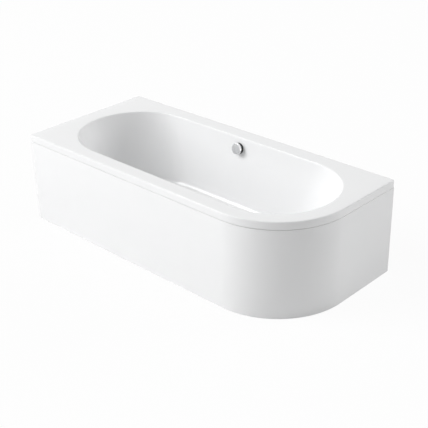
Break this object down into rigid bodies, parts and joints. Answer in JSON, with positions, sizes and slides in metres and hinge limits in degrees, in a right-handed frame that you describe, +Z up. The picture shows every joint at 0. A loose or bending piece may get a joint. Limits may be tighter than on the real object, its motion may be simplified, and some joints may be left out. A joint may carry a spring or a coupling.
{
  "type": "corner bathtub",
  "caption": "Double-ended acrylic bathtub for a corner, with a flat rim, one large round corner, a removable moulded panel, and a rotary overflow knob that lifts the waste plug.",
  "frame": {"origin": "on the floor, under the middle of the bath's rectangular outline", "axes": "+X along the bath towards its round corner, -Y towards the long panelled front, +Y to the long wall, -X to the end wall, +Z up"},
  "size_m": [1.8, 0.8, 0.51],
  "materials": {
    "acrylic": "high gloss white sanitary acrylic",
    "timber": "sawn softwood",
    "chipboard": "raw chipboard",
    "zinc_steel": "zinc plated",
    "screw_steel": "passivated zinc",
    "magnet_steel": "nickel plated",
    "chrome": "polished",
    "gasket_rubber": "matt",
    "black_plastic": "moulded",
    "white_plastic": "moulded",
    "hose_plastic": "ribbed, satin",
    "cable_sheath": "extruded",
    "foot_plastic": "moulded, matt"
  },
  "bodies": {
    "bath": {"bath_shell": "acrylic", "rim_batten_front": "timber", "rim_batten_back": "timber", "rim_batten_left": "timber", "rim_batten_right": "timber", "rim_batten_corner": "timber", "base_board": "chipboard", "leg_rail_left": "zinc_steel", "leg_rail_right": "zinc_steel", "rail_screws": "screw_steel", "panel_brackets": "zinc_steel", "panel_bracket_screws": "screw_steel", "panel_magnets": "magnet_steel", "panel_struts": "zinc_steel", "panel_strut_screws": "screw_steel", "wall_brackets_back": "zinc_steel", "wall_brackets_left": "zinc_steel", "wall_bracket_screws": "screw_steel", "foot_lock_nuts": "screw_steel", "overflow_gasket": "gasket_rubber", "overflow_housing": "black_plastic", "overflow_faceplate": "black_plastic", "overflow_screws": "screw_steel", "overflow_hose": "hose_plastic", "hose_nut_upper": "black_plastic", "hose_nut_lower": "black_plastic", "control_cable": "cable_sheath", "waste_flange": "chrome", "waste_seal_upper": "gasket_rubber", "waste_seal_lower": "gasket_rubber", "waste_body": "black_plastic", "lever_pin": "screw_steel", "trap_body": "white_plastic", "trap_cleaning_cap": "white_plastic", "trap_seal": "gasket_rubber", "trap_union_nut": "white_plastic", "outlet_pipe": "white_plastic", "outlet_coupling": "white_plastic"},
    "knob": {"overflow_knob": "chrome", "knob_grub_screw": "screw_steel", "knob_spindle": "screw_steel", "cable_wheel": "white_plastic"},
    "plug": {"waste_plug": "chrome", "plug_seal": "gasket_rubber", "plug_stem": "screw_steel"},
    "lever": {"lift_lever": "white_plastic"},
    "panel": {"front_panel": "acrylic", "panel_strike_plates": "zinc_steel"},
    "foot_front_left": {"foot_stud_front_left": "screw_steel", "foot_pad_front_left": "foot_plastic"},
    "foot_front_right": {"foot_stud_front_right": "screw_steel", "foot_pad_front_right": "foot_plastic"},
    "foot_back_left": {"foot_stud_back_left": "screw_steel", "foot_pad_back_left": "foot_plastic"},
    "foot_back_right": {"foot_stud_back_right": "screw_steel", "foot_pad_back_right": "foot_plastic"}
  },
  "joints": [
    {"name": "knob_turn", "type": "hinge", "parent": "bath", "child": "knob", "pos_m": [-0.01, 0.30065, 0.45], "axis": [0, -0.9881, 0.154], "range_deg": [0, 60]},
    {"name": "plug_lift", "type": "slide", "parent": "bath", "child": "plug", "axis": [0, 0, 1], "range_m": [0, 0.0125]},
    {"name": "lever_tilt", "type": "hinge", "parent": "bath", "child": "lever", "pos_m": [-0.01, 0.013, 0.08376], "axis": [-1, 0, 0], "range_deg": [0, 40.5]},
    {"name": "panel_pull", "type": "slide", "parent": "bath", "child": "panel", "axis": [0.7071, -0.7071, 0], "range_m": [0, 0.3]},
    {"name": "foot_front_left_level", "type": "slide", "parent": "bath", "child": "foot_front_left", "axis": [0, 0, -1], "range_m": [0, 0.015]},
    {"name": "foot_front_right_level", "type": "slide", "parent": "bath", "child": "foot_front_right", "axis": [0, 0, -1], "range_m": [0, 0.015]},
    {"name": "foot_back_left_level", "type": "slide", "parent": "bath", "child": "foot_back_left", "axis": [0, 0, -1], "range_m": [0, 0.015]},
    {"name": "foot_back_right_level", "type": "slide", "parent": "bath", "child": "foot_back_right", "axis": [0, 0, -1], "range_m": [0, 0.015]}
  ],
  "couplings": [
    {"joint": "plug_lift", "follows": "knob_turn", "m_per_rad": 0.011758},
    {"joint": "lever_tilt", "follows": "knob_turn", "ratio": 0.66667}
  ]
}
